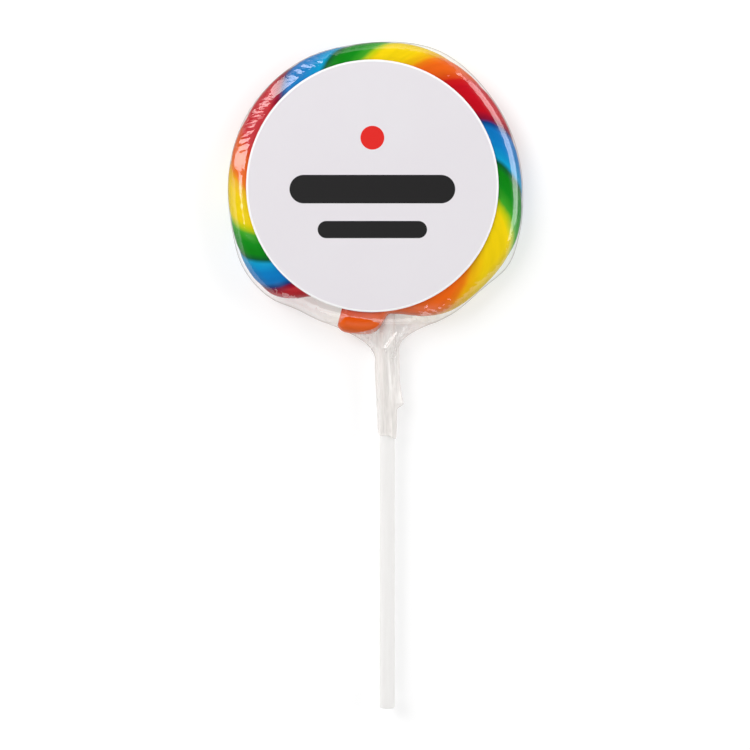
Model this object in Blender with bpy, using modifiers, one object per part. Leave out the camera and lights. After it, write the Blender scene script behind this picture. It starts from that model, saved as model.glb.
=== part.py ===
"""Swirl lollipop: a rope of hard candy wound into a flat coil on a paper stick.

Clear film covers the coil and is gathered into a neck round the stick, and a
round label is stuck to its front. The sealed film and the candy in it are one
solid here, out to the film. The lollipop lies on its back: the label faces +Z,
the stick runs towards -Y, and the origin is on the flat of the back, in the
middle of the coil. Clock angles run from +Y towards +X, as seen from the front.
"""

import math

import bmesh
import bpy
import numpy as np

# Driving dimensions, in metres.
COIL_RADIUS = 0.0445          # outer edge of the last turn
ROPE_PITCH = 0.0116           # one turn of rope to the next
ROPE_OVERLAP = 0.0003         # how far touching turns have run into each other
ROPE_HEIGHT = 0.0114          # full height of the rope before its flat is pressed
FLAT_DEPTH = 0.0004           # pressed off the back of every turn
STICK_RADIUS = 0.00238        # rolled paper, 3/16 inch across
STICK_LENGTH = 0.1524         # 6 inches
STICK_BURIED = 0.0384         # length of stick inside the candy
STICK_OFFSET = 0.0038         # stick's axis to the right of the coil's middle
LABEL_RADIUS = 0.0381         # 3 inches across
LABEL_THICKNESS = 0.0003
LABEL_CENTRE = (-0.0007, -0.0001)
NECK_RADIUS = 0.0032          # film round the stick
NECK_END = 0.0757             # coil's middle to the lower end of the film
FILM_EDGE = 0.0440            # reach of the film beside the stick
FIT_GAP = 0.0003              # between pieces that touch

# The rope's path.
TAIL_CLOCK = 195.0            # where the rope ends
STEP_START = 0.89             # part of a turn after which the path steps inwards
STEP_END = 1.01
EVEN_SHARE = 0.3              # share of the step spread evenly, more with each turn
DEGREES_PER_RING = 7.5
ROPE_SIDES = 12
END_ROUNDING = 0.004          # length over which the rope's end is rounded
END_WIDTH = 0.7               # width of the end face, as a share of the rope's

# Unevenness of the outer edge: clock angle, height, half-width on either side.
OUTER_SWELLS = (
    (112.0, 0.0015, 11.0, 11.0),
    (235.0, 0.0018, 10.0, 13.0),
    (24.0, 0.0005, 12.0, 12.0),
    (352.0, -0.0010, 12.0, 12.0),
    (173.0, -0.0056, 10.6, 5.0),
)
SWELL_FADE = (0.90, 1.00)     # turns over which the unevenness dies away

# The film's funnel, from the candy to the neck.
FLARE_LEFT = 120.0            # curvature of its two flanks, per metre
FLARE_RIGHT = 60.0
FLARE_START = 0.0528          # coil's middle to where the neck begins
FLARE_END = 0.0412            # coil's middle to where the flanks meet the candy
FUNNEL_TOP = 0.026            # coil's middle to its upper end, inside the candy
FUNNEL_HALF_HEIGHT = 0.0044
FUNNEL_SIDES = 24

MID_HEIGHT = ROPE_HEIGHT / 2 - FLAT_DEPTH
TOP_HEIGHT = ROPE_HEIGHT - FLAT_DEPTH
BUTTON_RADIUS = ROPE_PITCH / 2 + ROPE_OVERLAP


def clear_scene():
    """Remove every object that the file starts with."""
    for obj in list(bpy.data.objects):
        bpy.data.objects.remove(obj, do_unlink=True)


def make_collection(name):
    """Return a new collection in the scene."""
    collection = bpy.data.collections.new(name)
    bpy.context.scene.collection.children.link(collection)
    return collection


def make_material(name, colour, roughness, transmission=0.0):
    """Return a Principled material with the given linear colour."""
    material = bpy.data.materials.new(name)
    material.use_nodes = True
    shader = material.node_tree.nodes["Principled BSDF"]
    shader.inputs["Base Color"].default_value = (*colour, 1.0)
    shader.inputs["Roughness"].default_value = roughness
    shader.inputs["Metallic"].default_value = 0.0
    shader.inputs["Transmission Weight"].default_value = transmission
    return material


def place(obj, collection, material=None):
    """Move an object into one collection and give it its material."""
    for owner in list(obj.users_collection):
        owner.objects.unlink(obj)
    collection.objects.link(obj)
    if material:
        obj.data.materials.append(material)
    return obj


def hide_as_cutter(obj):
    """Mark an object that only shapes another one."""
    obj.hide_render = True
    obj.display_type = "WIRE"
    return obj


def add_boolean(target, operand, operation, resolve_self=False):
    """Join or cut the target with another object."""
    modifier = target.modifiers.new(f"{operation.lower()}_{operand.name}", "BOOLEAN")
    modifier.operation = operation
    modifier.object = operand
    modifier.solver = "EXACT"
    modifier.use_self = resolve_self


def smooth_step(value):
    """Ease from 0 to 1 as the value goes from 0 to 1."""
    clamped = np.clip(value, 0.0, 1.0)
    return clamped * clamped * (3.0 - 2.0 * clamped)


def turns_inward(turns):
    """Pitches that the rope's edge has moved in, after so many turns from its end.

    The outer turn keeps its radius and steps in at the end of the round; with
    each further turn more of the move is spread evenly, as on a plain spiral.
    """
    whole = np.floor(turns)
    part = turns - whole
    stepped = smooth_step((part - STEP_START) / (STEP_END - STEP_START))
    even = np.clip(EVEN_SHARE * (turns - 1.0), 0.0, 1.0)
    return whole + even * part + (1.0 - even) * stepped


def edge_radius(turns):
    """Outer edge of the rope, so many turns from its end."""
    clock = TAIL_CLOCK - 360.0 * turns
    swell = np.zeros_like(turns)
    for centre, height, width_before, width_after in OUTER_SWELLS:
        offset = (clock - centre + 180.0) % 360.0 - 180.0
        width = np.where(offset < 0.0, width_before, width_after)
        swell += height * np.exp(-0.5 * (offset / width) ** 2)
    fade_start, fade_end = SWELL_FADE
    fade = 1.0 - smooth_step((turns - fade_start) / (fade_end - fade_start))
    return COIL_RADIUS - ROPE_PITCH * turns_inward(turns) + fade * swell


def loft(name, rings, collection):
    """Skin a row of closed rings, an array of stations by sides by 3, and cap its ends."""
    body = bmesh.new()
    rows = [[body.verts.new(point) for point in ring] for ring in rings]
    sides = len(rows[0])
    for upper, lower in zip(rows, rows[1:]):
        for index in range(sides):
            following = (index + 1) % sides
            body.faces.new((upper[index], upper[following], lower[following], lower[index]))
    body.faces.new(rows[0])
    body.faces.new(rows[-1])
    bmesh.ops.recalc_face_normals(body, faces=body.faces)
    mesh = bpy.data.meshes.new(name)
    body.to_mesh(mesh)
    body.free()
    return place(bpy.data.objects.new(name, mesh), collection)


def build_rope(collection):
    """Wind the rope from its outer end inwards, as oval sections across its path.

    Each turn fills the space from its own outer edge to that of the next turn.
    """
    turns = np.arange(0.0, 4.0, DEGREES_PER_RING / 360.0)
    outer = edge_radius(turns)
    inner = edge_radius(turns + 1.0)
    wound = (inner + outer) / 2 > ROPE_PITCH * 0.6
    turns, outer, inner = turns[wound], outer[wound], inner[wound]
    middle = (outer + inner) / 2
    half_width = (outer - inner) / 2 + ROPE_OVERLAP
    travelled = 2.0 * math.pi * turns * COIL_RADIUS
    rounding = 1.0 - np.clip(travelled / END_ROUNDING, 0.0, 1.0)
    fullness = np.sqrt(1.0 - (1.0 - END_WIDTH**2) * rounding**2)

    clock = np.radians(TAIL_CLOCK - 360.0 * turns)[:, None]
    around = np.linspace(0.0, 2.0 * math.pi, ROPE_SIDES, endpoint=False)[None, :]
    radius = middle[:, None] + (half_width * fullness)[:, None] * np.cos(around)
    height = MID_HEIGHT + (ROPE_HEIGHT / 2 * fullness)[:, None] * np.sin(around)
    rings = np.stack((radius * np.sin(clock), radius * np.cos(clock), height), axis=-1)
    return loft("rope", rings, collection)


def build_button(collection):
    """Make the curled-up inner end of the rope, a flattened ball in the middle."""
    bpy.ops.mesh.primitive_uv_sphere_add(segments=24, ring_count=12, radius=1.0)
    ball = bpy.context.object
    ball.name = "curled_end"
    for vert in ball.data.vertices:
        vert.co.x *= BUTTON_RADIUS
        vert.co.y *= BUTTON_RADIUS
        vert.co.z = MID_HEIGHT + vert.co.z * ROPE_HEIGHT / 2
    return place(ball, collection)


def add_cylinder(name, radius, depth, location, rotation=(0.0, 0.0, 0.0), sides=48):
    """Add a closed cylinder about its own middle."""
    bpy.ops.mesh.primitive_cylinder_add(
        vertices=sides, radius=radius, depth=depth, location=location, rotation=rotation
    )
    cylinder = bpy.context.object
    cylinder.name = name
    return cylinder


def funnel_reach(distance, flare, side):
    """Reach of the film to one side of the stick, at distances below the coil's middle.

    A flank opens as a parabola from the neck until it meets the circle of the
    candy, and follows that above. Side is -1 for the left flank and +1 for the
    right one.
    """
    opened = NECK_RADIUS + flare * np.maximum(FLARE_START - distance, 0.0) ** 2
    chord = np.sqrt(np.maximum(FILM_EDGE**2 - distance**2, 0.0)) - side * STICK_OFFSET
    return np.where(distance > FLARE_END, opened, chord)


def build_funnel(collection):
    """Make the film's funnel and neck from oval sections across the stick."""
    inside = np.linspace(FUNNEL_TOP, FLARE_END, 4)
    flared = np.linspace(FLARE_END, FLARE_START, 9)[1:]
    distance = np.concatenate((inside, flared, [NECK_END]))[:, None]
    around = np.linspace(0.0, 2.0 * math.pi, FUNNEL_SIDES, endpoint=False)[None, :]
    across = np.cos(around)
    left = funnel_reach(distance, FLARE_LEFT, -1)
    right = funnel_reach(distance, FLARE_RIGHT, 1)
    narrowing = smooth_step((distance - FUNNEL_TOP) / (FLARE_START - FUNNEL_TOP))
    half_height = FUNNEL_HALF_HEIGHT + (NECK_RADIUS - FUNNEL_HALF_HEIGHT) * narrowing
    x = STICK_OFFSET + np.where(across > 0.0, right, left) * across
    z = MID_HEIGHT + half_height * np.sin(around)
    rings = np.stack((x, -distance + 0.0 * x, z), axis=-1)
    return loft("film_funnel", rings, collection)


def build_wrapped_candy(parts, cutters, material):
    """Join rope, core and film funnel, cut the stick's hole and press the back flat."""
    core_radius = COIL_RADIUS - ROPE_PITCH * 0.8
    core = add_cylinder("wrapped_candy", core_radius, ROPE_HEIGHT * 0.62, (0.0, 0.0, MID_HEIGHT))
    place(core, parts, material)

    rope = hide_as_cutter(build_rope(cutters))
    button = hide_as_cutter(build_button(cutters))
    funnel = hide_as_cutter(build_funnel(cutters))
    add_boolean(core, rope, "UNION", resolve_self=True)
    add_boolean(core, button, "UNION")
    add_boolean(core, funnel, "UNION")

    hole_length = STICK_BURIED + NECK_END + 0.01
    hole_top = COIL_RADIUS - STICK_BURIED - FIT_GAP
    hole_middle = -(hole_top + hole_length / 2)
    hole = add_cylinder(
        "stick_hole",
        STICK_RADIUS + FIT_GAP,
        hole_length,
        (STICK_OFFSET, hole_middle, MID_HEIGHT),
        (math.pi / 2, 0.0, 0.0),
        sides=24,
    )
    hide_as_cutter(place(hole, cutters))
    add_boolean(core, hole, "DIFFERENCE")

    bpy.ops.mesh.primitive_cube_add(size=1.0, location=(0.0, 0.0, -0.5))
    table = bpy.context.object
    table.name = "pressed_flat"
    hide_as_cutter(place(table, cutters))
    add_boolean(core, table, "DIFFERENCE")
    return core


def build_stick(parts, material):
    """Make the paper stick, with a softened edge at both ends."""
    top = -(COIL_RADIUS - STICK_BURIED)
    middle = (STICK_OFFSET, top - STICK_LENGTH / 2, MID_HEIGHT)
    stick = add_cylinder("stick", STICK_RADIUS, STICK_LENGTH, middle, (math.pi / 2, 0.0, 0.0), 24)
    place(stick, parts, material)
    bevel = stick.modifiers.new("soft_ends", "BEVEL")
    bevel.width = 0.0004
    bevel.segments = 2
    bevel.limit_method = "ANGLE"
    stick.data.shade_smooth()
    return stick


def build_label(parts, material):
    """Make the round label on the front."""
    bottom = TOP_HEIGHT + FIT_GAP
    label = add_cylinder(
        "label", LABEL_RADIUS, LABEL_THICKNESS, (*LABEL_CENTRE, bottom + LABEL_THICKNESS / 2), sides=96
    )
    return place(label, parts, material)


def main():
    """Build the lollipop."""
    clear_scene()
    parts = make_collection("swirl_lollipop")
    cutters = make_collection("construction")
    candy = make_material("boiled_sugar", (0.60, 0.02, 0.03), 0.15, transmission=0.1)
    paper = make_material("rolled_paper", (0.85, 0.84, 0.82), 0.6)
    label_paper = make_material("coated_label", (0.77, 0.75, 0.78), 0.35)
    build_wrapped_candy(parts, cutters, candy)
    build_stick(parts, paper)
    build_label(parts, label_paper)


main()
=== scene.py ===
"""Looks of a wrapped swirl lollipop: rope candy, clear film, round label and paper stick.

The lollipop lies on its back. Clock angles are in degrees and run from +Y towards
+X, as seen from the front (+Z). Lengths are in millimetres until a mesh is made.
"""
from __future__ import annotations

import logging
import math
from dataclasses import dataclass
from enum import Enum
from typing import Any

import bpy
import numpy as np
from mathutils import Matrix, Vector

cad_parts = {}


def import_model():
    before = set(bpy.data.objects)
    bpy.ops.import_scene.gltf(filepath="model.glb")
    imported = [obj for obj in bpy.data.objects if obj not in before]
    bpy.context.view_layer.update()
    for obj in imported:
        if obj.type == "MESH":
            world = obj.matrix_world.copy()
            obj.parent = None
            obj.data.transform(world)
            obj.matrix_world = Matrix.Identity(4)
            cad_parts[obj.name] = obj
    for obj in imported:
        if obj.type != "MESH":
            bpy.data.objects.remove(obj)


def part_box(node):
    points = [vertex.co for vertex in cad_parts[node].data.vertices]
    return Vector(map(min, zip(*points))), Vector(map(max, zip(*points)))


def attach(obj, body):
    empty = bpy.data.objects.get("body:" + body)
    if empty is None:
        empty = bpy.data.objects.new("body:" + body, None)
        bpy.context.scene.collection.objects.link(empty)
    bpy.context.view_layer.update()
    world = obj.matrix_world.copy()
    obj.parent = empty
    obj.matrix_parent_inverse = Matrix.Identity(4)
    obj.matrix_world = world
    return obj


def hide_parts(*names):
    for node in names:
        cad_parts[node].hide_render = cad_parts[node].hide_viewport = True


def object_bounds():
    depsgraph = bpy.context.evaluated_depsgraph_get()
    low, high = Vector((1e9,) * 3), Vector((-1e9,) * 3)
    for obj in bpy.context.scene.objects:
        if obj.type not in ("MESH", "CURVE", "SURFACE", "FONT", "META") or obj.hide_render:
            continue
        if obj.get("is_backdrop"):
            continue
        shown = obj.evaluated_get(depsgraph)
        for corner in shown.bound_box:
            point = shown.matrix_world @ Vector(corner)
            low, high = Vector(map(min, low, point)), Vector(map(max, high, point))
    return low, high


LOG = logging.getLogger("lollipop")
MM = 0.001
FULL_TURN = 360.0
WRAPPED = "wrapped_candy"
STICK = "stick"
LABEL = "label"
ROPE_UV = "rope"

# Flat film kept past the label's rim, in mm.
LABEL_CLEAR = 0.3
# Power per square metre at which a mirror shows a lamp as plain white, in watts.
WHITE_LAMP = 4.0


# ---------------------------------------------------------------- helpers


def linear(colour: str) -> tuple[float, float, float, float]:
    """Turn an sRGB hex colour into linear RGBA.

    Args:
        colour: six hex digits after a hash.

    Returns:
        Linear red, green and blue, and an alpha of 1.
    """
    srgb = np.array([int(colour[i : i + 2], 16) for i in (1, 3, 5)]) / 255.0
    toe = srgb / 12.92
    curve = ((srgb + 0.055) / 1.055) ** 2.4
    red, green, blue = np.where(srgb <= 0.04045, toe, curve)
    return float(red), float(green), float(blue), 1.0


def smooth_step(value: np.ndarray) -> np.ndarray:
    """Ease from 0 to 1 as the value goes from 0 to 1."""
    clamped = np.clip(value, 0.0, 1.0)
    return clamped * clamped * (3.0 - 2.0 * clamped)


def zigzag(angle: np.ndarray) -> np.ndarray:
    """Triangular wave from -1 to 1, with the period and phase of a sine."""
    return 2.0 / math.pi * np.arcsin(np.sin(angle))


def clock_gap(clock: np.ndarray, centre: float) -> np.ndarray:
    """Signed clock angle from a centre to each angle, from -180 to 180 degrees."""
    return (clock - centre + 180.0) % FULL_TURN - 180.0


def signed_volume(points: np.ndarray, faces: np.ndarray) -> float:
    """Volume inside a mesh of quads: the sum of the tetrahedra from the origin to their halves.

    Args:
        points: one row of x, y, z for each point.
        faces: one row of four point numbers for each quad.

    Returns:
        The volume, negative if the quads face inwards.
    """
    quads = points[faces]
    first = np.einsum("ij,ij->i", quads[:, 0], np.cross(quads[:, 1], quads[:, 2]))
    second = np.einsum("ij,ij->i", quads[:, 0], np.cross(quads[:, 2], quads[:, 3]))
    return float(np.sum(first + second)) / 6.0


def surface(
    name: str,
    grid: np.ndarray,
    tips: tuple[np.ndarray | None, np.ndarray | None] = (None, None),
    uv: np.ndarray | None = None,
) -> bpy.types.Object:
    """Make a smooth object from a grid of points whose rows are closed rings.

    Args:
        name: the piece's name.
        grid: rows by columns by 3, in mm.
        tips: a point that closes the first row and one for the last, or None.
        uv: rows by columns + 1 by 2, for patterns that follow the surface.

    Returns:
        The object, at the origin, with its faces outwards.
    """
    rows, columns = grid.shape[:2]
    points = grid.reshape(-1, 3)
    index = np.arange(rows * columns).reshape(rows, columns)
    following = np.roll(index, -1, axis=1)
    quads = np.stack((index[:-1], index[1:], following[1:], following[:-1]), axis=-1).reshape(-1, 4)
    inside_out = signed_volume(points, quads) < 0.0
    fans = []
    for row, tip in zip((0, rows - 1), tips):
        if tip is None:
            continue
        apex = np.full(columns, len(points))
        points = np.vstack((points, tip))
        ends = (following[row], index[row]) if row else (index[row], following[row])
        fans.append(np.stack((apex, *ends), axis=-1))
    if inside_out:
        quads = quads[:, ::-1]
        fans = [fan[:, ::-1] for fan in fans]
    faces = quads.tolist() + [face for fan in fans for face in fan.tolist()]
    mesh = bpy.data.meshes.new(name)
    mesh.from_pydata((points * MM).tolist(), [], faces)
    mesh.shade_smooth()
    if uv is not None:
        loops = np.stack((uv[:-1, :-1], uv[1:, :-1], uv[1:, 1:], uv[:-1, 1:]), axis=2)
        loops = loops.reshape(-1, 4, 2)
        if inside_out:
            loops = loops[:, ::-1]
        closed = [row for row, tip in zip((0, -1), tips) if tip is not None]
        caps = [np.repeat(uv[row, :-1], 3, axis=0) for row in closed]
        values = np.concatenate([loops.reshape(-1, 2), *caps])
        mesh.uv_layers.new(name=ROPE_UV).data.foreach_set("uv", values.ravel())
    mesh.validate()
    obj = bpy.data.objects.new(name, mesh)
    bpy.context.scene.collection.objects.link(obj)
    return obj


def add_node(
    tree: bpy.types.NodeTree, kind: str, inputs: dict[Any, Any], **settings: Any
) -> bpy.types.Node:
    """Add one shader node.

    Args:
        tree: the material's or the world's node tree.
        kind: the node's type, without its ShaderNode prefix.
        inputs: socket name or number to a value, to the socket that feeds it, or to
            the node whose first output feeds it.
        settings: the node's own properties.

    Returns:
        The new node.
    """
    node = tree.nodes.new(f"ShaderNode{kind}")
    for name, value in settings.items():
        setattr(node, name, value)
    for key, value in inputs.items():
        if isinstance(value, bpy.types.Node):
            value = value.outputs[0]
        if isinstance(value, bpy.types.NodeSocket):
            tree.links.new(value, node.inputs[key])
        else:
            node.inputs[key].default_value = value
    return node


def blank_material(name: str) -> tuple[bpy.types.Material, bpy.types.NodeTree]:
    """Make a material with an empty node tree.

    Args:
        name: the material's name.

    Returns:
        The material and its nodes.
    """
    material = bpy.data.materials.new(name)
    material.use_nodes = True
    material.node_tree.nodes.clear()
    return material, material.node_tree


# ---------------------------------------------------------------- finishes


class Strand(Enum):
    """The rope's strands in clock order: share of a twist, then tints across the strand.

    Each tint is a place from 0 to 1 and a colour. Where two see-through strands
    overlap, the later one starts darker, or takes on the earlier one's colour.
    """

    RED = (0.248, ((0.03, "#DA1414"), (0.20, "#D0021C"), (0.78, "#CC001A"), (0.96, "#8C0634")))
    BLUE = (0.200, ((0.05, "#043C88"), (0.22, "#007CCA"), (0.60, "#0086D0"), (0.92, "#04A8DC")))
    GREEN = (0.162, ((0.06, "#06602C"), (0.28, "#008A0C"), (0.64, "#069414"), (0.93, "#44B228")))
    YELLOW = (0.229, ((0.06, "#C4D404"), (0.20, "#FFE000"), (0.72, "#FFDA00"), (0.95, "#FCBC04")))
    ORANGE = (0.161, ((0.07, "#F88408"), (0.28, "#F86C0E"), (0.70, "#F4640F"), (0.94, "#E4460E")))

    @property
    def share(self) -> float:
        """Part of a full twist that the strand takes."""
        return self.value[0]

    @property
    def tints(self) -> tuple[tuple[float, str], ...]:
        """Colours across the strand."""
        return self.value[1]


@dataclass(frozen=True)
class BoiledSugar:
    """Pulled boiled sugar: opaque, saturated and glossy, with faint streaks along its strands.

    Scales are per metre: edges wander every 7 mm, and grain is 1.1 mm. Counts are for
    one twist, some 51 mm along the rope's middle and 38 mm round it: streaks are about
    1 mm wide and 10 mm long.
    """

    wander: float = 0.026
    wander_scale: float = 140.0
    streaks_round: float = 36.0
    streaks_along: float = 5.0
    streak_depth: float = 0.09
    streak_relief: float = 0.7
    grain_scale: float = 900.0
    relief: float = 0.00015
    # Painted shade on the rope's outer side: where it starts round the section, and how much darker it
    # gets.
    painted_side_from: float = 0.55
    painted_side_shade: float = 0.28
    gloss_level: float = 0.18
    roughness: float = 0.24
    ior: float = 1.49

    def fill_ramp(self, ramp: bpy.types.ColorRamp) -> None:
        """Write the strands' tints into a colour ramp over one twist, from mid-red to mid-red.

        Args:
            ramp: the ramp, with its two first elements at its ends.
        """
        start = -Strand.RED.share / 2
        stops = []
        for strand in Strand:
            stops += [((start + strand.share * place) % 1.0, tint) for place, tint in strand.tints]
            start += strand.share
        middle = linear(Strand.RED.tints[1][1])
        for element in ramp.elements:
            element.color = middle
        for place, tint in stops:
            ramp.elements.new(place).color = linear(tint)

    def build(self) -> bpy.types.Material:
        """Make the material, whose pattern follows the rope's own UV map.

        Returns:
            The material.
        """
        material, tree = blank_material("pulled_boiled_sugar")
        uv = add_node(tree, "UVMap", {}, uv_map=ROPE_UV)
        parts = add_node(tree, "SeparateXYZ", {0: uv})
        place = add_node(tree, "TexCoord", {}).outputs["Object"]
        cloud = {"Vector": place, "Scale": self.wander_scale, "Detail": 3.0}
        wander = add_node(tree, "TexNoise", cloud)
        twist = add_node(tree, "Math", {0: parts, 1: parts.outputs[1]}, operation="ADD")
        moved = {0: wander, 1: self.wander, 2: twist}
        turned = add_node(tree, "Math", moved, operation="MULTIPLY_ADD")
        shift = Strand.RED.share / 2 + self.wander / 2
        centred = add_node(tree, "Math", {0: turned, 1: shift}, operation="SUBTRACT")
        phase = add_node(tree, "Math", {0: centred}, operation="FRACT")
        ramp = add_node(tree, "ValToRGB", {"Fac": phase})
        self.fill_ramp(ramp.color_ramp)

        # Air pulled into the sugar leaves hair-fine pale and dark lines along each strand.
        side = add_node(tree, "Math", {0: twist, 1: self.streaks_round}, operation="MULTIPLY")
        run = add_node(tree, "Math", {0: parts, 1: self.streaks_along}, operation="MULTIPLY")
        strand = add_node(tree, "CombineXYZ", {0: side, 1: run})
        streaks = add_node(tree, "TexNoise", {"Vector": strand, "Scale": 1.0, "Detail": 4.0})
        shades = {0: streaks, 1: 0.3, 2: 0.7, 3: 1.0 - self.streak_depth, 4: 1.0}
        shade = add_node(tree, "MapRange", shades)

        # Painted shade: the rope's outer side, turned away from the lamps, is darkened in its colour.
        angle = add_node(tree, "Math", {0: parts.outputs[1], 1: 2.0 * math.pi}, operation="MULTIPLY")
        outward = add_node(tree, "Math", {0: angle}, operation="COSINE")
        depth = {0: outward, 1: self.painted_side_from, 2: 1.0, 3: 1.0, 4: 1.0 - self.painted_side_shade}
        side_shaded = add_node(tree, "MapRange", depth, interpolation_type="SMOOTHSTEP")
        value = add_node(tree, "Math", {0: shade, 1: side_shaded}, operation="MULTIPLY")
        colour = add_node(tree, "HueSaturation", {"Color": ramp, "Value": value})
        fine = {"Vector": place, "Scale": self.grain_scale, "Detail": 2.0}
        grain = add_node(tree, "TexNoise", fine)
        heights = {0: streaks, 1: self.streak_relief, 2: grain}
        relief = add_node(tree, "Math", heights, operation="MULTIPLY_ADD")
        bump = add_node(tree, "Bump", {"Height": relief, "Strength": 0.25, "Distance": self.relief})
        gloss = {"Base Color": colour, "Roughness": self.roughness, "IOR": self.ior, "Normal": bump}
        gloss["Specular IOR Level"] = self.gloss_level
        shader = add_node(tree, "BsdfPrincipled", gloss)
        add_node(tree, "OutputMaterial", {"Surface": shader})
        return material


@dataclass(frozen=True)
class ClearFilm:
    """Cast polypropylene film: clear, with mirror-like glints on its folds, milky where bunched.

    Scales are per metre: ripples of 3 mm, and milky streaks 2.4 mm wide and 17 mm long.
    The milk's start and full strength are places along the stick, in metres.
    """

    sheen: float = 0.078
    edge_sheen: float = 0.018
    sheen_fall: tuple[float, float] = (0.22, 0.42)
    roughness: float = 0.09
    ripple_scale: float = 320.0
    ripple_relief: float = 0.0002
    # Grey of the painted shade where the film is seen edge-on.
    edge_on_shade: str = "#C2BDB8"
    edge_power: float = 4.0
    milk: float = 0.50
    milk_tint: str = "#FAF5F1"
    milk_start: float = -0.034
    milk_full: float = -0.054
    milk_scale: tuple[float, float, float] = (420.0, 60.0, 420.0)

    def build(self) -> bpy.types.Material:
        """Make the material from clear, glossy and milky layers.

        Returns:
            The material.
        """
        material, tree = blank_material("clear_polypropylene_film")
        place = add_node(tree, "TexCoord", {}).outputs["Object"]
        fine = {"Vector": place, "Scale": self.ripple_scale, "Detail": 2.0}
        ripple = add_node(tree, "TexNoise", fine)
        rippled = {"Height": ripple, "Strength": 0.35, "Distance": self.ripple_relief}
        bump = add_node(tree, "Bump", rippled)
        facing = add_node(tree, "LayerWeight", {"Blend": 0.5, "Normal": bump}).outputs["Facing"]
        start, end = self.sheen_fall
        fall = {0: facing, 1: start, 2: end, 3: self.sheen, 4: self.edge_sheen}
        shine = add_node(tree, "MapRange", fall, interpolation_type="SMOOTHSTEP")
        # Painted shade: the clear layer turns grey where the film is seen edge-on, which darkens its
        # edges and the coil's rim beneath.
        edge_on = add_node(tree, "Math", {0: facing, 1: self.edge_power}, operation="POWER")
        tints = {0: edge_on, 6: linear("#FFFFFF"), 7: linear(self.edge_on_shade)}
        tint = add_node(tree, "Mix", tints, data_type="RGBA").outputs[2]
        clear = add_node(tree, "BsdfTransparent", {"Color": tint})
        mirror = {"Color": linear("#FFFFFF"), "Roughness": self.roughness, "Normal": bump}
        glint = add_node(tree, "BsdfGlossy", mirror)
        film = add_node(tree, "MixShader", {0: shine, 1: clear, 2: glint})

        # Bunched layers scatter light: milky along the neck, streaked the way the folds run.
        height = add_node(tree, "SeparateXYZ", {0: place}).outputs[1]
        drawn = {0: height, 1: self.milk_start, 2: self.milk_full, 3: 0.0, 4: self.milk}
        bunched = add_node(tree, "MapRange", drawn, interpolation_type="SMOOTHSTEP")
        run = add_node(tree, "Mapping", {"Vector": place, "Scale": self.milk_scale})
        streak = add_node(tree, "TexNoise", {"Vector": run, "Scale": 1.0, "Detail": 3.0})
        cloud = add_node(tree, "MapRange", {0: streak, 1: 0.35, 2: 0.7, 3: 0.55, 4: 1.25})
        amount = add_node(tree, "Math", {0: bunched, 1: cloud}, operation="MULTIPLY")
        milk = add_node(tree, "BsdfDiffuse", {"Color": linear(self.milk_tint), "Normal": bump})
        whole = add_node(tree, "MixShader", {0: amount, 1: film, 2: milk})
        add_node(tree, "OutputMaterial", {"Surface": whole})
        return material


@dataclass(frozen=True)
class PrintShape:
    """A rounded rectangle of one ink. Sizes in metres."""

    centre: tuple[float, float]
    width: float
    height: float
    corner: float
    ink: str


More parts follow.
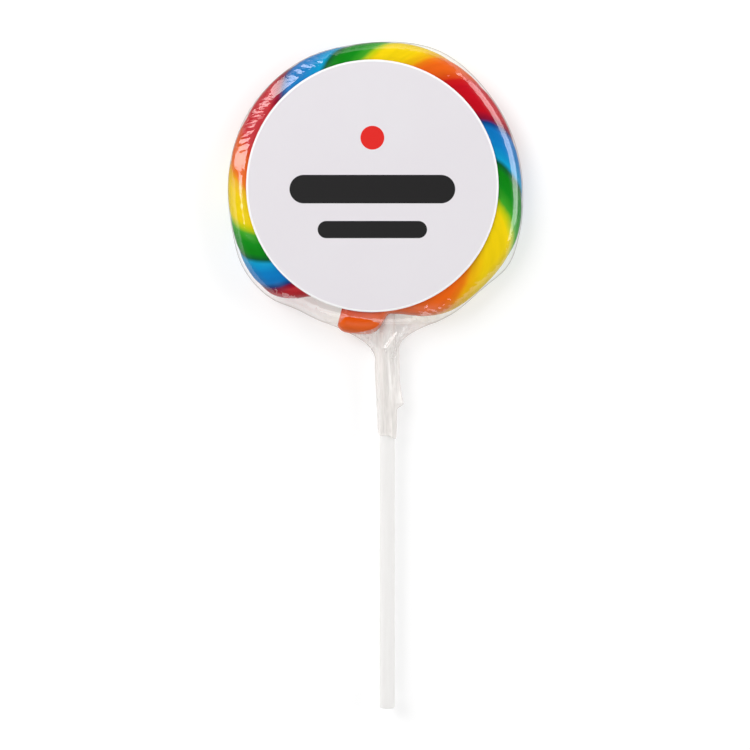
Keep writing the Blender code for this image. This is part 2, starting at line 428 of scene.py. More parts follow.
@dataclass(frozen=True)
class CoatedPaper:
    """Satin coated sticker paper: a pale lilac-grey print field inside a white die-cut margin.

    Scales are per metre: a mottle of 22 mm, and fibres of 0.7 mm, drawn a little
    coarser than real ones so that they show. The margin and the ink's edge are in metres.
    """

    mottle_scale: float = 45.0
    fibre_scale: float = 1500.0
    fibre_relief: float = 0.00005
    roughness: float = 0.52
    gloss_level: float = 0.32
    margin: float = 0.0006
    ink_edge: float = 0.00004
    field_dark: str = "#E3DEE3"
    field_light: str = "#E6E3E7"
    paper: str = "#FBFAFB"
    ink: str = "#1C1B1C"
    accent: str = "#E2231D"

    def printed_shape(
        self, tree: bpy.types.NodeTree, place: bpy.types.NodeSocket, shape: PrintShape
    ) -> bpy.types.Node:
        """Mask of a rounded rectangle printed on the label.

        Distance to the shape is the length of what is left of a point's offset from the
        centre past the half sizes, less the corner radius.

        Args:
            tree: the label's nodes.
            place: Object coordinates.
            shape: the shape to print.

        Returns:
            A node that gives 1 inside and 0 outside, with a crisp but not jagged edge.
        """
        half = (shape.width / 2 - shape.corner, shape.height / 2 - shape.corner, 1.0)
        offset = add_node(tree, "VectorMath", {0: place, 1: (*shape.centre, 0.0)}, operation="SUBTRACT")
        size = add_node(tree, "VectorMath", {0: offset}, operation="ABSOLUTE")
        past = add_node(tree, "VectorMath", {0: size, 1: half}, operation="SUBTRACT")
        beyond = add_node(tree, "VectorMath", {0: past, 1: (0.0, 0.0, 0.0)}, operation="MAXIMUM")
        distance = add_node(tree, "VectorMath", {0: beyond}, operation="LENGTH").outputs["Value"]
        inner, outer = shape.corner - self.ink_edge, shape.corner + self.ink_edge
        return add_node(tree, "MapRange", {0: distance, 1: inner, 2: outer, 3: 1.0, 4: 0.0})

    def build(self, centre: tuple[float, float], radius: float) -> bpy.types.Material:
        """Make the material for a round label.

        Args:
            centre: the label's middle, in metres.
            radius: its radius, in metres.

        Returns:
            The material.
        """
        material, tree = blank_material("satin_coated_label")
        place = add_node(tree, "TexCoord", {}).outputs["Object"]
        cloud = {"Vector": place, "Scale": self.mottle_scale, "Detail": 3.0}
        mottle = add_node(tree, "TexNoise", cloud)
        tints = {0: mottle, 6: linear(self.field_dark), 7: linear(self.field_light)}
        field = add_node(tree, "Mix", tints, data_type="RGBA").outputs[2]
        inside = radius - self.margin
        printed = PrintShape(centre, 2 * inside, 2 * inside, inside, self.paper)
        disc = self.printed_shape(tree, place, printed)
        layers = {0: disc, 6: linear(self.paper), 7: field}
        colour = add_node(tree, "Mix", layers, data_type="RGBA").outputs[2]
        for shape in self.print_shapes(centre):
            layers = {0: self.printed_shape(tree, place, shape), 6: colour, 7: linear(shape.ink)}
            colour = add_node(tree, "Mix", layers, data_type="RGBA").outputs[2]
        fine = {"Vector": place, "Scale": self.fibre_scale, "Detail": 2.0}
        fibre = add_node(tree, "TexNoise", fine)
        raised = {"Height": fibre, "Strength": 0.12, "Distance": self.fibre_relief}
        bump = add_node(tree, "Bump", raised)
        satin = {"Base Color": colour, "Roughness": self.roughness, "IOR": 1.45, "Normal": bump}
        satin["Specular IOR Level"] = self.gloss_level
        shader = add_node(tree, "BsdfPrincipled", satin)
        add_node(tree, "OutputMaterial", {"Surface": shader})
        return material

    def print_shapes(self, centre: tuple[float, float]) -> list[PrintShape]:
        """Plain bars and a dot in place of print, about the label's middle.

        Args:
            centre: the label's middle, in metres.

        Returns:
            The shapes, in the order in which they are printed.
        """
        x, y = centre
        return [
            PrintShape((x, y - 0.0010), 0.0500, 0.0086, 0.0043, self.ink),
            PrintShape((x, y - 0.0132), 0.0330, 0.0052, 0.0026, self.ink),
            PrintShape((x, y + 0.0145), 0.0072, 0.0072, 0.0036, self.accent),
        ]


@dataclass(frozen=True)
class RolledPaper:
    """Tightly rolled bleached paper: matt warm white, with faint lengthwise fibres.

    Scales are per metre: fibres 0.7 mm wide and 11 mm long, coarser than real ones so
    that they show.
    """

    light: str = "#F7F6F4"
    dark: str = "#EDEBE9"
    fibre_scale: tuple[float, float, float] = (1400.0, 90.0, 1400.0)
    fibre_relief: float = 0.00006
    roughness: float = 0.62

    def build(self) -> bpy.types.Material:
        """Make the material.

        Returns:
            The material.
        """
        material, tree = blank_material("rolled_bleached_paper")
        place = add_node(tree, "TexCoord", {}).outputs["Object"]
        run = add_node(tree, "Mapping", {"Vector": place, "Scale": self.fibre_scale})
        fibres = add_node(tree, "TexNoise", {"Vector": run, "Scale": 1.0, "Detail": 4.0})
        tints = {0: fibres, 6: linear(self.dark), 7: linear(self.light)}
        colour = add_node(tree, "Mix", tints, data_type="RGBA").outputs[2]
        raised = {"Height": fibres, "Strength": 0.3, "Distance": self.fibre_relief}
        bump = add_node(tree, "Bump", raised)
        matt = {"Base Color": colour, "Roughness": self.roughness, "IOR": 1.45, "Normal": bump}
        shader = add_node(tree, "BsdfPrincipled", matt)
        add_node(tree, "OutputMaterial", {"Surface": shader})
        return material


# ---------------------------------------------------------------- pieces


@dataclass(frozen=True)
class Swell:
    """A bump of an outline, as a bell curve over the clock angle."""

    clock: float
    height: float
    before: float
    after: float

    def at(self, clock: np.ndarray) -> np.ndarray:
        """Height of the bump at each clock angle.

        Args:
            clock: clock angles, in degrees.

        Returns:
            Heights, in mm.
        """
        gap = clock_gap(clock, self.clock)
        width = np.where(gap < 0.0, self.before, self.after)
        return self.height * np.exp(-0.5 * (gap / width) ** 2)


@dataclass(frozen=True)
class Crumple:
    """Relief of crumpled film, flat between sharp creases. Sizes in mm and radians."""

    share: float
    length: float
    slant: float
    seed: int
    waves: int = 6
    shortest: float = 0.6
    spread: float = 1.1
    full_height: float = 3.2

    def relief(self, along: np.ndarray, across: np.ndarray) -> np.ndarray:
        """Sum of zigzag waves in seeded directions, close to the first coordinate's.

        Args:
            along: first coordinate of each point.
            across: second coordinate.

        Returns:
            Heights from -1 to 1.
        """
        draws = np.random.default_rng(self.seed).uniform(size=(self.waves, 3))
        total = np.zeros_like(along)
        for turn, stretch, start in draws:
            angle = self.slant * (2.0 * turn - 1.0)
            wave = self.length * (self.shortest + self.spread * stretch)
            travel = along * math.cos(angle) + across * math.sin(angle)
            total += zigzag(2.0 * math.pi * (travel / wave + start))
        return np.clip(total / self.full_height, -1.0, 1.0)


@dataclass(frozen=True)
class Pleats:
    """Lengthwise pleats of the gathered film, which turn slowly round the neck. In mm.

    Distances are from the coil's middle. The turn is in radians for each mm.
    """

    depth: float = 0.32
    start: float = 38.0
    run_in: float = 8.0
    tight_from: float = 54.0
    tight_share: float = 0.3
    turn: float = 0.035
    coarse_share: float = 0.6

    def relief(self, distance: np.ndarray, around: np.ndarray, neck: float) -> np.ndarray:
        """Four sharp pleats round the film and seven soft ones, which wander along it.

        Args:
            distance: how far below the coil's middle.
            around: angle round the section.
            neck: where the neck starts.

        Returns:
            Heights.
        """
        turned = around + self.turn * (distance - neck)
        coarse = self.coarse_share * zigzag(4.0 * turned + 0.5 * np.sin(distance / 4.0))
        fine = (1.0 - self.coarse_share) * np.sin(7.0 * turned + 1.3 - distance / 9.0)
        tight = smooth_step((distance - self.tight_from) / self.run_in)
        depth = self.depth * smooth_step((distance - self.start) / self.run_in)
        return depth * (1.0 - self.tight_share * tight) * (coarse + fine)


@dataclass(frozen=True)
class Flap:
    """A loose corner of film off the neck's right side, widest at its lower tip. In mm."""

    top: float = 56.0
    length: float = 10.0
    reach: float = 1.9
    hollow: float = 1.6
    under: float = 1.6
    half_width: float = 0.14

    def relief(self, distance: np.ndarray, around: np.ndarray) -> np.ndarray:
        """A power curve down to the tip, cut off under it, as a bell curve round the neck.

        Args:
            distance: how far below the coil's middle.
            around: angle round the section, from the right.

        Returns:
            Heights.
        """
        hanging = np.clip((distance - self.top) / self.length, 0.0, 1.0) ** self.hollow
        cut = smooth_step((distance - self.top - self.length) / self.under)
        beside = np.exp(-((np.sin(around / 2.0) / self.half_width) ** 2))
        return self.reach * hanging * (1.0 - cut) * beside


@dataclass(frozen=True)
class Pinch:
    """A thin straight fold of the film, seen from the front. Sizes in mm."""

    start: tuple[float, float]
    end: tuple[float, float]
    height: float
    width: float
    run_out: float = 1.2

    def share(self, x: np.ndarray, y: np.ndarray) -> np.ndarray:
        """Share of the fold's height: a bell curve off its line and past its ends.

        Args:
            x: across the stick.
            y: along the stick.

        Returns:
            Values from 0 to 1.
        """
        start, end = np.array(self.start), np.array(self.end)
        length = math.dist(start, end)
        run = (end - start) / length
        along = (x - start[0]) * run[0] + (y - start[1]) * run[1]
        aside = (x - start[0]) * run[1] - (y - start[1]) * run[0]
        past = np.maximum(np.abs(along - length / 2) - length / 2, 0.0)
        return np.exp(-((aside / self.width) ** 2) - (past / self.run_out) ** 2)


@dataclass(frozen=True)
class Facet:
    """A flat of the film, which bridges the rounded edge of the coil."""

    clock: float
    half_width: float
    lean: float

    def share(self, clock: np.ndarray, drop: np.ndarray) -> np.ndarray:
        """Share of the flat over each point, by clock angle and way out past the crest in mm."""
        gap = clock_gap(clock, self.clock) + self.lean * drop
        return np.exp(-((gap / self.half_width) ** 4))


@dataclass(frozen=True)
class Flank:
    """One side of the funnel: a parabola up from the neck, then the disc's edge. Sizes in mm."""

    side: int
    start: float
    flare: float
    edge_radius: float

    def reach(
        self, distance: np.ndarray, neck: np.ndarray, top: float, stick_x: float
    ) -> np.ndarray:
        """How far the film reaches from the stick's line, so far below the coil's middle.

        Args:
            distance: how far below the coil's middle.
            neck: reach of the gathered film there.
            top: where the parabola meets the disc's circle.
            stick_x: the stick's place across the coil.

        Returns:
            The reach, never negative.
        """
        opened = neck + self.flare * np.maximum(self.start - distance, 0.0) ** 2
        chord = np.sqrt(np.maximum(self.edge_radius**2 - distance**2, 0.0)) - self.side * stick_x
        return np.where(distance > top, opened, chord)


@dataclass
class Coil:
    """Course of the wound rope, shared by the candy and the film over it. Sizes in mm."""

    radius: float = 44.2
    pitch: float = 11.6
    tail_clock: float = 195.0
    step_start: float = 0.915
    step_end: float = 0.998
    even_share: float = 0.3
    fade: tuple[float, float] = (0.90, 1.00)
    swells: tuple[Swell, ...] = (
        Swell(112.0, 1.5, 11.0, 11.0),
        Swell(235.0, 1.5, 10.0, 13.0),
        Swell(24.0, 0.5, 12.0, 12.0),
        Swell(352.0, -0.8, 12.0, 12.0),
        Swell(173.0, -5.6, 10.6, 3.3),
        Swell(190.0, 0.5, 6.0, 9.0),
    )

    def turns_inward(self, turns: np.ndarray) -> np.ndarray:
        """Pitches that the rope's edge has moved in, so many turns from its tail.

        The whole turns, plus the part turn as a late smooth step, which with each
        turn inwards gives way to an even spiral.

        Args:
            turns: turns from the tail.

        Returns:
            The pitches.
        """
        whole = np.floor(turns)
        part = turns - whole
        stepped = smooth_step((part - self.step_start) / (self.step_end - self.step_start))
        even = np.clip(self.even_share * (turns - 1.0), 0.0, 1.0)
        return whole + even * part + (1.0 - even) * stepped

    def edge(self, turns: np.ndarray) -> np.ndarray:
        """Outer edge of the rope: the inward steps, and the swells on the outer turn.

        Args:
            turns: turns from the tail.

        Returns:
            Distances from the coil's middle.
        """
        clock = self.tail_clock - FULL_TURN * turns
        swell = sum(bump.at(clock) for bump in self.swells)
        start, end = self.fade
        kept = 1.0 - smooth_step((turns - start) / (end - start))
        return self.radius - self.pitch * self.turns_inward(turns) + kept * swell


@dataclass
class RopeCandy:
    """The twisted rope of candy, wound from its tail to the middle. Sizes in mm."""

    coil: Coil
    mid_height: float
    half_height: float = 5.62
    back_height: float = 0.12
    overlap: float = 0.35
    rings_per_turn: int = 340
    sides: int = 56
    boxiness: float = 2.25
    twists_per_turn: float = 4.69
    twist_ripple: float = 0.352
    ripple_start: float = 0.146
    tail_twist: tuple[float, float] = (-0.058, 0.60)
    tail_phase: float = 2.990
    stretch: float = 0.45
    tail_stretch: float = 0.80
    stretch_side: float = 0.12
    stretch_from: float = 0.04
    stretch_run: float = 0.18
    groove_depth: float = 0.20
    groove_width: float = 0.020
    wobble: float = 0.10
    wobble_run: float = 7.3
    wobble_turn: float = 23.0
    most_turns: float = 4.0
    core_share: float = 0.6
    tail_rounding: float = 2.6
    tail_width: float = 0.80
    knob_radius: float = 6.1
    knob_rings: int = 32
    knob_sides: int = 64

    def twist(self, turns: np.ndarray) -> np.ndarray:
        """Phase of the strands at the top of the rope, so many turns from the tail.

        The rate of twist eases in from the tail, ripples once a turn and falls with the
        radius of the inner turns. The sum of the rate is taken from the tail's phase.

        Args:
            turns: turns from the tail, evenly spaced.

        Returns:
            The phase, in twists.
        """
        start, end = self.tail_twist
        ease = smooth_step((turns - start) / (end - start))
        ripple = 1.0 + self.twist_ripple * np.cos(2.0 * math.pi * (turns - self.ripple_start))
        lost = np.maximum(turns - 1.0, 0.0) * self.coil.pitch / (self.coil.radius - self.coil.pitch / 2)
        rate = self.twists_per_turn * ease * ripple * (1.0 - lost)
        return self.tail_phase - np.cumsum(rate * np.diff(turns, prepend=turns[0]))

    def section_phase(self, turns: np.ndarray, around: np.ndarray) -> np.ndarray:
        """Phase of the strands round each section.

        A full turn round the rope is one twist, spread out on the front outer side,
        most of all at the tail: a sine, nil at the top of the section, is taken off.

        Args:
            turns: turns from the tail, one for each row.
            around: angle round the section, from its outer side over the top.

        Returns:
            The phase, rows by columns.
        """
        share = around / (2.0 * math.pi)
        tail = 1.0 - smooth_step((turns - self.stretch_from) / self.stretch_run)
        amount = self.stretch + (self.tail_stretch - self.stretch) * tail
        side = 2.0 * math.pi * self.stretch_side
        wave = np.sin(around - side) - math.sin(math.pi / 2 - side)
        return (self.twist(turns) - 0.25)[:, None] + share - amount[:, None] / (2.0 * math.pi) * wave

    def groove(self, phase: np.ndarray) -> np.ndarray:
        """Depth of the creases where strands meet, as bell curves over the phase.

        Args:
            phase: phase of the strands, in twists.

        Returns:
            Depths, in mm.
        """
        depth = np.zeros_like(phase)
        bound = 0.0
        for strand in Strand:
            bound += strand.share
            gap = (phase - bound + 0.5) % 1.0 - 0.5
            depth += self.groove_depth * np.exp(-0.5 * (gap / self.groove_width) ** 2)
        return depth

    def build(self) -> list[bpy.types.Object]:
        """Make the rope and the knob that its inner end curls into.

        Each turn fills the space from its own outer edge to that of the next turn. A
        section is a superellipse across the path: cosine and sine of the angle round
        it, each raised to 2 over the boxiness.

        Returns:
            The rope and the knob.
        """
        coil = self.coil
        turns = np.arange(0.0, self.most_turns, 1.0 / self.rings_per_turn)
        outer, inner = coil.edge(turns), coil.edge(turns + 1.0)
        middle = (outer + inner) / 2
        wound = middle > coil.pitch * self.core_share
        turns, outer, inner, middle = turns[wound], outer[wound], inner[wound], middle[wound]
        half_width = (outer - inner) / 2 + self.overlap
        travelled = 2.0 * math.pi * turns * coil.radius
        rounding = 1.0 - np.clip(travelled / self.tail_rounding, 0.0, 1.0)
        fullness = np.sqrt(1.0 - (1.0 - self.tail_width**2) * rounding**2)

        around = np.linspace(0.0, 2.0 * math.pi, self.sides + 1)[None, :]
        phase = self.section_phase(turns, around)
        power = 2.0 / self.boxiness
        across = np.sign(np.cos(around)) * np.abs(np.cos(around)) ** power
        upward = np.sign(np.sin(around)) * np.abs(np.sin(around)) ** power
        turned = around + travelled[:, None] / self.wobble_turn
        wobble = self.wobble * np.sin(travelled / self.wobble_run)[:, None] * np.cos(turned)
        inset = self.groove(phase) - wobble
        radius = middle[:, None] + (half_width * fullness)[:, None] * across - inset * np.cos(around)
        rise = (self.half_height * fullness)[:, None] * upward - inset * np.sin(around)
        height = np.maximum(self.mid_height + rise, self.back_height)
        clock = np.radians(coil.tail_clock - FULL_TURN * turns)[:, None]
        grid = np.stack((radius * np.sin(clock), radius * np.cos(clock), height), axis=-1)[:, :-1]
        share = around / (2.0 * math.pi)
        uv = np.stack(np.broadcast_arrays(phase - share, share), axis=-1)
        ends = grid[0].mean(axis=0), grid[-1].mean(axis=0)
        rope = surface("candy_rope", grid, ends, uv)
        return [rope, self.build_knob(uv[-1, 0, 0])]

    def build_knob(self, phase: float) -> bpy.types.Object:
        """Make the curled-up inner end: a flattened ball whose strands run on from the rope.

        Args:
            phase: the twist at the rope's inner end.

        Returns:
            The knob.
        """
        rise = np.linspace(-math.pi / 2, math.pi / 2, self.knob_rings + 2)[1:-1, None]
        around = np.linspace(0.0, 2.0 * math.pi, self.knob_sides + 1)[None, :]
        radius = self.knob_radius * np.cos(rise)
        height = np.maximum(self.mid_height + self.half_height * np.sin(rise), self.back_height)
        x, y = radius * np.cos(around), radius * np.sin(around)
        grid = np.stack(np.broadcast_arrays(x, y, height), axis=-1)[:, :-1]
        share = around / (2.0 * math.pi)
        uv = np.stack(np.broadcast_arrays(phase + rise / math.pi, share), axis=-1)
        back = np.array((0.0, 0.0, self.back_height))
        front = np.array((0.0, 0.0, self.mid_height + self.half_height))
        return surface("candy_knob", grid, (back, front), uv)


@dataclass
class FilmWrap:
    """Clear film drawn over the coil and gathered into a neck round the stick. Sizes in mm."""

    coil: Coil
    mid_height: float
    stick_x: float
    label_reach: float
    front_height: float = 5.78
    crest: float = 0.865
    roundness: float = 2.2
    top_slope: float = 0.012
    bridged_hollow: float = 2.0
    label_fade: float = 1.2
    neck_radius: float = 2.8
    neck_slack: float = 0.8
    neck_drawn: float = 54.0
    neck_drawing: float = 20.0
    neck_half_height: float = 3.1
    neck_end: float = 75.6
    torn_from: float = 68.0
    torn_run: float = 8.0
    torn_tilt: float = 0.7
    torn_wave: float = 0.3
    flare_start: float = 52.8
    flare_end: float = 41.2
    blend_start: float = 33.0
    thick_start: float = 26.0
    thick_run: float = 12.0
    left: Flank = Flank(-1, 52.8, 0.115, 44.0)
    right: Flank = Flank(1, 49.2, 0.172, 45.2)
    funnel_least: float = 20.0
    funnel_top: float = 34.0
    funnel_height: float = 4.5
    pleats: Pleats = Pleats()
    flap: Flap = Flap()
    tuck_smooths: float = 0.9
    tuck: Pinch = Pinch((6.9, -45.0), (3.5, -49.1), 0.75, 0.65, 0.8)
    pinches: tuple[Pinch, ...] = (
        Pinch((20.9, 31.5), (24.2, 33.6), 0.45, 0.50),
        Pinch((-17.0, 35.2), (-13.2, 40.6), 0.35, 0.45),
        Pinch((16.6, -36.3), (14.6, -38.4), 0.45, 0.45),
    )
    disc_rows: int = 330
    neck_rows: int = 110
    columns: int = 220
    side_crowding: float = 0.30
    facet_touch: float = 0.52
    facet_slope: float = 0.445
    facet_fade: float = 0.6
    facet_end: float = 0.72
    facet_end_run: float = 0.22
    facets: tuple[Facet, ...] = (
        Facet(322.5, 5.6, 1.0),
        Facet(310.5, 1.9, 2.0),
        Facet(304.5, 1.7, 2.0),
        Facet(298.0, 1.6, 2.2),
        Facet(281.5, 6.5, 0.5),
    )
    slack: float = 0.45
    crumples: tuple[Crumple, ...] = (Crumple(0.6, 3.0, 0.4, 11), Crumple(0.4, 1.6, 0.8, 5))
    crease_power: float = 1.4
    crease_outward: float = 0.15
    crease_back: float = 0.2
    stand_off: tuple[Swell, ...] = (
        Swell(121.0, 1.3, 6.0, 6.0),
        Swell(238.0, 0.9, 12.0, 8.0),
        Swell(222.0, 0.7, 8.0, 6.0),
        Swell(28.0, 0.8, 10.0, 14.0),
        Swell(90.0, 0.3, 20.0, 20.0),
        Swell(160.0, 1.0, 12.0, 12.0),
        Swell(206.0, -1.2, 9.0, 9.0),
    )
    creases: tuple[Swell, ...] = (
        Swell(300.0, 2.10, 7.0, 6.0),
        Swell(331.0, 0.80, 5.0, 8.0),
        Swell(20.0, 0.22, 12.0, 12.0),
        Swell(128.0, 0.35, 8.0, 10.0),
        Swell(212.0, 0.45, 14.0, 12.0),
        Swell(160.0, 0.35, 12.0, 10.0),
    )

    def outline(self, clock: np.ndarray) -> np.ndarray:
        """Reach of the film round the disc: it bridges the coil's deep hollows.

        Args:
            clock: clock angles, in degrees.

        Returns:
            Distances from the coil's middle.
        """
        followed = [bump for bump in self.coil.swells if bump.height > -self.bridged_hollow]
        bumps = sum(bump.at(clock) for bump in followed)
        return self.coil.radius + self.slack + bumps + sum(bump.at(clock) for bump in self.stand_off)

    def pillow(self, slope: np.ndarray, around: np.ndarray) -> np.ndarray:
        """Film over the disc, as one section across Y for each row.

        On a unit disc a row lies at the cosine of its slope and reaches out to the
        sine; the point is then moved out to the film's outline. The height is full
        as far as the crest of the outer turn, and falls to the rim as an oval. Facets
        lift it to a straight line that touches the oval, and creases and pinches
        stand on it clear of the label.

        Args:
            slope: angle from the top of the disc, one for each row.
            around: angle round the section, one for each column.

        Returns:
            Rows by columns by 3.
        """
        unit_x = np.sin(slope) * np.cos(around)
        unit_y = np.cos(slope) + 0.0 * around
        reach = np.hypot(unit_x, unit_y)
        clock = np.degrees(np.arctan2(unit_x, unit_y))
        outline = self.outline(clock)
        past = np.clip((reach - self.crest) / (1.0 - self.crest), 0.0, 1.0)
        fall = (1.0 - past**self.roundness) ** (1.0 / self.roundness)
        front = np.sin(around) > 0.0
        height = np.where(front, self.front_height, -self.mid_height) * fall
        creased = sum(bump.at(clock) for bump in self.creases)
        arc = np.radians(clock) * self.coil.radius
        drop = outline * (reach - self.crest)
        lean = arc + drop
        relief = sum(crumple.share * crumple.relief(lean, drop) for crumple in self.crumples)
        beyond = reach * outline - self.label_reach
        clear = smooth_step(beyond / self.label_fade)
        lift = creased * (relief * 0.5 + 0.5) ** self.crease_power * clear
        touch = self.facet_touch
        level = self.front_height * (1.0 - touch**self.roundness) ** (1.0 / self.roundness)
        plane = level - self.facet_slope * (past - touch) * (1.0 - self.crest) * outline
        bridged = sum(facet.share(clock, drop) for facet in self.facets)
        bridged = bridged * smooth_step((beyond + LABEL_CLEAR) / self.facet_fade)
        bridged = bridged * (1.0 - smooth_step((past - self.facet_end) / self.facet_end_run))
        height = height + np.where(front, bridged * np.maximum(plane - height, 0.0), 0.0)
        outline = outline + self.crease_outward * lift * past
        height = height + np.where(front, 1.0, -self.crease_back) * lift * np.sqrt(1.0 - past)
        x, y = outline * unit_x, outline * unit_y
        for pinch in self.pinches:
            height = height + front * clear * pinch.height * pinch.share(x, y) * np.sqrt(1.0 - past)
        return np.stack((x, y, self.mid_height + np.maximum(height, -self.mid_height)), axis=-1)

    def funnel(self, distance: np.ndarray, around: np.ndarray) -> np.ndarray:
        """Film below the disc: oval sections across the stick, pleated towards the neck.

        Args:
            distance: how far below the coil's middle each row lies.
            around: angle round the section, one for each column.

        Returns:
            Rows by columns by 3.
        """
        across = np.cos(around)
        slack = 1.0 - smooth_step((distance - self.neck_drawn) / self.neck_drawing)
        neck = self.neck_radius + self.neck_slack * slack
        left = self.left.reach(distance, neck, self.flare_end, self.stick_x)
        right = self.right.reach(distance, neck, self.flare_end, self.stick_x)
        drawn = smooth_step((distance - self.funnel_top) / (self.flare_start - self.funnel_top))
        lowest = np.minimum(neck, self.neck_half_height)
        half_height = self.funnel_height + (lowest - self.funnel_height) * drawn
        base = self.stick_x + np.where(across > 0.0, right, left) * across
        ridge = self.tuck.share(base, -distance) * np.maximum(np.sin(around), 0.0)
        pleated = self.pleats.relief(distance, around, self.flare_start)
        out = pleated * (1.0 - self.tuck_smooths * ridge) + self.flap.relief(distance, around)
        uneven = self.torn_tilt * np.cos(around - 0.4) + self.torn_wave * np.sin(3.0 * around)
        ragged = uneven * smooth_step((distance - self.torn_from) / self.torn_run)
        x = base + out * across
        z = self.mid_height + (half_height + out) * np.sin(around) + self.tuck.height * ridge
        y = -distance - ragged
        return np.stack(np.broadcast_arrays(x, y, z), axis=-1)

    def build(self) -> bpy.types.Object:
        """Join pillow and funnel into one open-ended surface.

        Returns:
            The film.
        """
        around = np.linspace(0.0, 2.0 * math.pi, self.columns, endpoint=False)[None, :]
        around = around - self.side_crowding * np.sin(2.0 * around)
        disc_radius = self.left.edge_radius
        last_slope = math.acos(-self.flare_end / disc_radius)
        slope = np.linspace(self.top_slope, last_slope, self.disc_rows)[:, None]
        upper = self.pillow(slope, around)
        distance = -disc_radius * np.cos(slope)
        shared = self.funnel(np.maximum(distance, self.funnel_least), around)
        blended = (distance - self.blend_start) / (self.flare_end - self.blend_start)
        blend = smooth_step(blended)[..., None]
        thick = smooth_step((distance - self.thick_start) / self.thick_run)
        deep = (shared[..., 2] - self.mid_height) * thick
        flat = upper[..., 2] - self.mid_height
        swollen = np.sign(flat) * np.maximum(np.abs(flat), np.abs(deep))
        upper[..., 2] = self.mid_height + np.where(np.abs(flat) > 0.0, swollen, deep)
        joined = upper.copy()
        joined[..., :2] = upper[..., :2] * (1.0 - blend) + shared[..., :2] * blend
        lower_stops = np.linspace(self.flare_end, self.neck_end, self.neck_rows + 1)[1:, None]
        lower = self.funnel(lower_stops, around)
        top = np.array((0.0, float(self.outline(np.zeros(1))[0]), self.mid_height))
        return surface("film_wrap", np.concatenate((joined, lower)), (top, None))


@dataclass
class RoundLabel:
    """The sticker on the front of the film, a thin disc with a soft edge. Sizes in mm."""

    centre: tuple[float, float]
    base: float
    radius: float = 38.1
    thickness: float = 0.14
    droop: float = 0.10
    wave: float = 0.05
    cross_wave: float = 0.04
    edge_inset: float = 0.0012
    rings: int = 60
    columns: int = 256

    def build(self) -> bpy.types.Object:
        """Make the label as one turned profile with a slight wave.

        The profile runs from the middle of the back, round the edge, to the middle of
        the front. The wave is two low swells across the disc, and its rim dips a little.

        Returns:
            The label.
        """
        inward = np.linspace(0.02, 1.0, self.rings)
        outward = inward[::-1] - self.edge_inset * (inward[::-1] > 0.99)
        reach = np.concatenate((inward, [1.0], outward))
        rise = np.concatenate((np.zeros(self.rings), [0.5], np.ones(self.rings)))
        around = np.linspace(0.0, 2.0 * math.pi, self.columns, endpoint=False)[None, :]
        x = self.radius * reach[:, None] * np.cos(around)
        y = self.radius * reach[:, None] * np.sin(around)
        wave = self.wave * np.sin(x / 13.0 + 0.8) + self.cross_wave * np.sin(y / 9.0 - x / 21.0)
        droop = self.droop * reach[:, None] ** 8
        z = self.base + self.thickness * rise[:, None] + wave - droop
        grid = np.stack((self.centre[0] + x, self.centre[1] + y, z), axis=-1)
        return surface("label_disc", grid, (grid[0].mean(axis=0), grid[-1].mean(axis=0)))


@dataclass
class PaperStick:
    """The rolled paper stick, with the edge of its last wrap along it. Sizes in mm."""

    axis_x: float
    mid_height: float
    top: float
    bottom: float
    radius: float = 2.38
    soft_end: float = 0.45
    wrap_step: float = 0.07
    wrap_place: float = 0.12
    rings: int = 150
    columns: int = 72

    def build(self) -> bpy.types.Object:
        """Make the stick: a circle carried along -Y, rounded at its ends.

        The radius falls a little round the section and jumps back at the wrap's edge.
        Each end is a quarter circle of the soft end's size, closed by rings.

        Returns:
            The stick.
        """
        bend = np.linspace(0.0, math.pi / 2, 7)
        along = np.concatenate(
            (
                self.top - self.soft_end * (1.0 - np.sin(bend)),
                np.linspace(self.top - 1.0, self.bottom + 1.0, self.rings),
                self.bottom + self.soft_end * (1.0 - np.sin(bend[::-1])),
            )
        )
        along = np.sort(along)[::-1]
        from_end = np.minimum(self.top - along, along - self.bottom)
        inset = np.clip(1.0 - from_end / self.soft_end, 0.0, 1.0)
        trim = self.soft_end * (1.0 - np.sqrt(1.0 - inset**2))
        around = np.linspace(0.0, 2.0 * math.pi, self.columns, endpoint=False)[None, :]
        wrapped = self.wrap_step * ((around / (2.0 * math.pi) + self.wrap_place) % 1.0)
        radius = self.radius - trim[:, None] - wrapped
        x = self.axis_x + radius * np.cos(around)
        z = self.mid_height + radius * np.sin(around)
        grid = np.stack(np.broadcast_arrays(x, along[:, None], z), axis=-1)
        return surface("paper_stick", grid, (grid[0].mean(axis=0), grid[-1].mean(axis=0)))


# ---------------------------------------------------------------- studio


@dataclass(frozen=True)
class Softbox:
    """A rectangular lamp, placed by the way it shines on the coil. Sizes in metres.

    Its brightness is in times white, as a mirror would show it.
    """

    name: str
    clock: float
    elevation: float
    distance: float
    width: float
    height: float
    brightness: float

    def build(self) -> bpy.types.Object:
        """Make the lamp, facing the coil, its width level.

        Returns:
            The lamp.
        """
        light = bpy.data.lights.new(self.name, "AREA")
        light.shape = "RECTANGLE"
        light.size = self.width
        light.size_y = self.height
        light.energy = WHITE_LAMP * self.brightness * self.width * self.height
        lamp = bpy.data.objects.new(self.name, light)
        clock, rise = math.radians(self.clock), math.radians(self.elevation)
        flat = self.distance * math.cos(rise)
        lamp.location = (flat * math.sin(clock), flat * math.cos(clock), self.distance * math.sin(rise))
        lamp.rotation_euler = (math.pi / 2 - rise, 0.0, math.pi - clock)
        bpy.context.scene.collection.objects.link(lamp)
        return lamp


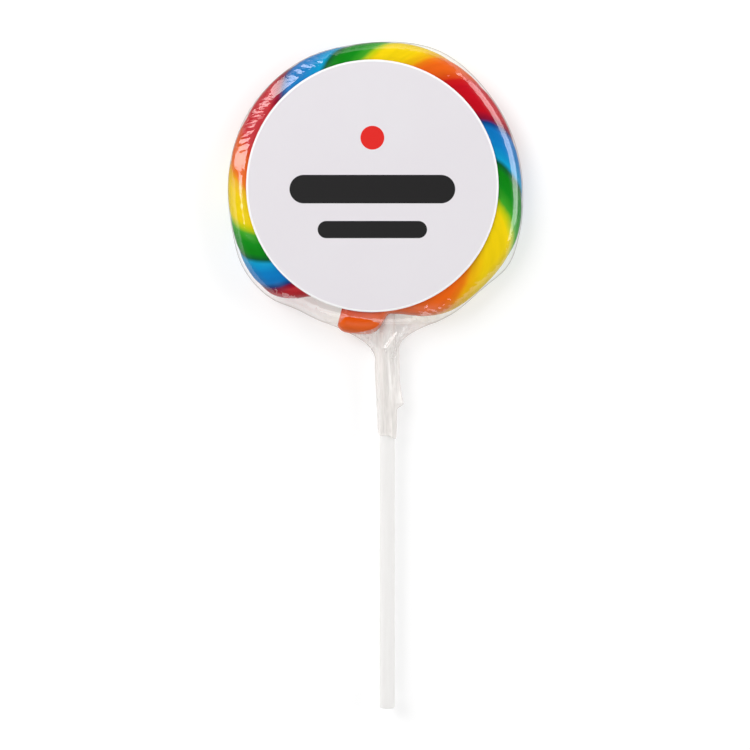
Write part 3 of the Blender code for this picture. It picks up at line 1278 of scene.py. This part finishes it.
@dataclass
class Studio:
    """Pale floor, soft lamps, pale surroundings and the camera. Sizes in metres."""

    middle: tuple[float, float]
    length: float
    floor_radius: float = 9.0
    floor_drop: float = 0.0002
    floor_sides: int = 96
    board: str = "#CDCDCD"
    board_lift: float = 0.48
    board_fade: tuple[float, float] = (0.18, 0.60)
    horizon: tuple[float, float] = (0.30, 0.48)
    overhead: float = 0.06
    lens: float = 100.0
    sensor: float = 36.0
    fill: float = 0.88
    softboxes: tuple[Softbox, ...] = (
        Softbox("key_left", 304.0, 42.0, 1.00, 0.62, 0.86, 3.7),
        Softbox("soft_right", 69.0, 26.0, 0.90, 0.86, 0.56, 2.6),
        Softbox("low_fill", 185.0, 38.0, 1.10, 0.90, 0.50, 1.8),
    )

    def build(self) -> None:
        """Set up everything round the lollipop."""
        self.build_floor()
        self.build_world()
        for softbox in self.softboxes:
            softbox.build()
        self.build_camera()
        bpy.context.scene.view_settings.view_transform = "Standard"

    def build_floor(self) -> None:
        """Lay a round floor just under the lollipop, white to the eye far out."""
        mesh = bpy.data.meshes.new("floor")
        angles = np.linspace(0.0, 2.0 * math.pi, self.floor_sides, endpoint=False)
        x, y = self.floor_radius * np.cos(angles), self.floor_radius * np.sin(angles)
        rim = np.stack((x, y, np.full_like(x, -self.floor_drop)), axis=-1)
        mesh.from_pydata(rim.tolist(), [], [list(range(len(rim)))])
        floor = bpy.data.objects.new("floor", mesh)
        bpy.context.scene.collection.objects.link(floor)
        material, tree = blank_material("matt_white_board")
        seen = self.seen(tree)
        place = add_node(tree, "TexCoord", {}).outputs["Object"]
        distance = add_node(tree, "VectorMath", {0: place}, operation="LENGTH").outputs["Value"]
        fade = {0: distance, 1: self.board_fade[0], 2: self.board_fade[1], 3: 0.0, 4: 1.0}
        far = add_node(tree, "MapRange", fade, interpolation_type="SMOOTHSTEP")
        board = add_node(tree, "BsdfDiffuse", {"Color": linear(self.board)})
        lifted = add_node(tree, "Math", {0: seen, 1: self.board_lift}, operation="MULTIPLY")
        lift = add_node(tree, "Emission", {"Strength": lifted})
        near = add_node(tree, "AddShader", {0: board, 1: lift})
        glow = add_node(tree, "Emission", {"Strength": 1.0})
        amount = add_node(tree, "Math", {0: far, 1: seen}, operation="MULTIPLY")
        shader = add_node(tree, "MixShader", {0: amount, 1: near, 2: glow})
        add_node(tree, "OutputMaterial", {"Surface": shader})
        mesh.materials.append(material)
        floor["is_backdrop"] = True

    def seen(self, tree: bpy.types.NodeTree) -> bpy.types.Node:
        """Tell rays that show the floor from those that light the lollipop.

        Args:
            tree: the floor's nodes.

        Returns:
            A node: 1 for rays from the camera, from gloss and through clear pieces, else 0.
        """
        path = add_node(tree, "LightPath", {}).outputs
        direct = {0: path["Is Camera Ray"], 1: path["Is Glossy Ray"]}
        some = add_node(tree, "Math", direct, operation="MAXIMUM")
        return add_node(tree, "Math", {0: some, 1: path["Is Transmission Ray"]}, operation="MAXIMUM")

    def build_world(self) -> None:
        """Surround the set with white near the horizon, and dim grey overhead."""
        world = bpy.data.worlds.new("studio_room")
        bpy.context.scene.world = world
        world.use_nodes = True
        tree = world.node_tree
        tree.nodes.clear()
        direction = add_node(tree, "TexCoord", {}).outputs["Generated"]
        rise = add_node(tree, "SeparateXYZ", {0: direction}).outputs[2]
        levels = {0: rise, 1: self.horizon[0], 2: self.horizon[1], 3: 1.0, 4: self.overhead}
        level = add_node(tree, "MapRange", levels, interpolation_type="SMOOTHSTEP")
        shader = add_node(tree, "Background", {"Color": linear("#FFFFFF"), "Strength": level})
        add_node(tree, "OutputWorld", {"Surface": shader})

    def build_camera(self) -> None:
        """Look straight down on the lollipop, the stick towards the bottom of the view."""
        camera = bpy.data.cameras.new("camera")
        camera.lens = self.lens
        camera.sensor_width = self.sensor
        camera.clip_start = 0.01
        obj = bpy.data.objects.new("camera", camera)
        span = self.length / self.fill
        obj.location = (*self.middle, span * self.lens / self.sensor)
        bpy.context.scene.collection.objects.link(obj)
        bpy.context.scene.camera = obj


# ---------------------------------------------------------------- assembly


def dress(piece: bpy.types.Object, material: bpy.types.Material, node: str) -> None:
    """Give a piece its finish, hang it on the root body and hide the CAD node that it replaces.

    Args:
        piece: the new object.
        material: its finish.
        node: the CAD node that it replaces.
    """
    piece.data.materials.append(material)
    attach(piece, "root")
    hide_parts(node)
    LOG.info("%s: %d faces, stands for %s", piece.name, len(piece.data.polygons), node)


def corners_mm(box: tuple) -> np.ndarray:
    """Lowest and highest corner of a box of the frame, in mm."""
    return np.array(box, dtype=float) / MM


def main() -> None:
    """Load the frame, build each piece round it and set up the studio."""
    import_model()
    cad_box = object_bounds()
    stick_low, stick_high = corners_mm(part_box(STICK))
    label_low, label_high = corners_mm(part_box(LABEL))
    stick_middle = (stick_low + stick_high) / 2
    label_middle = (label_low + label_high) / 2

    coil = Coil()
    sugar = BoiledSugar().build()
    for piece in RopeCandy(coil, stick_middle[2]).build():
        dress(piece, sugar, WRAPPED)
    label_radius = (label_high[0] - label_low[0]) / 2
    label_centre = (float(label_middle[0]), float(label_middle[1]))
    label_reach = label_radius + math.hypot(*label_centre) + LABEL_CLEAR
    film = FilmWrap(coil, stick_middle[2], stick_middle[0], label_reach).build()
    dress(film, ClearFilm().build(), WRAPPED)

    label = RoundLabel(label_centre, float(label_low[2]), float(label_radius)).build()
    paper = CoatedPaper().build((label_centre[0] * MM, label_centre[1] * MM), float(label_radius) * MM)
    dress(label, paper, LABEL)

    stick = PaperStick(
        float(stick_middle[0]), float(stick_middle[2]), float(stick_high[1]), float(stick_low[1])
    ).build()
    dress(stick, RolledPaper().build(), STICK)

    low, high = np.array(cad_box)
    Studio(tuple(((low + high) / 2)[:2].tolist()), float(high[1] - low[1])).build()


if __name__ == "__main__":
    logging.basicConfig(level=logging.INFO, format="%(message)s")
    main()
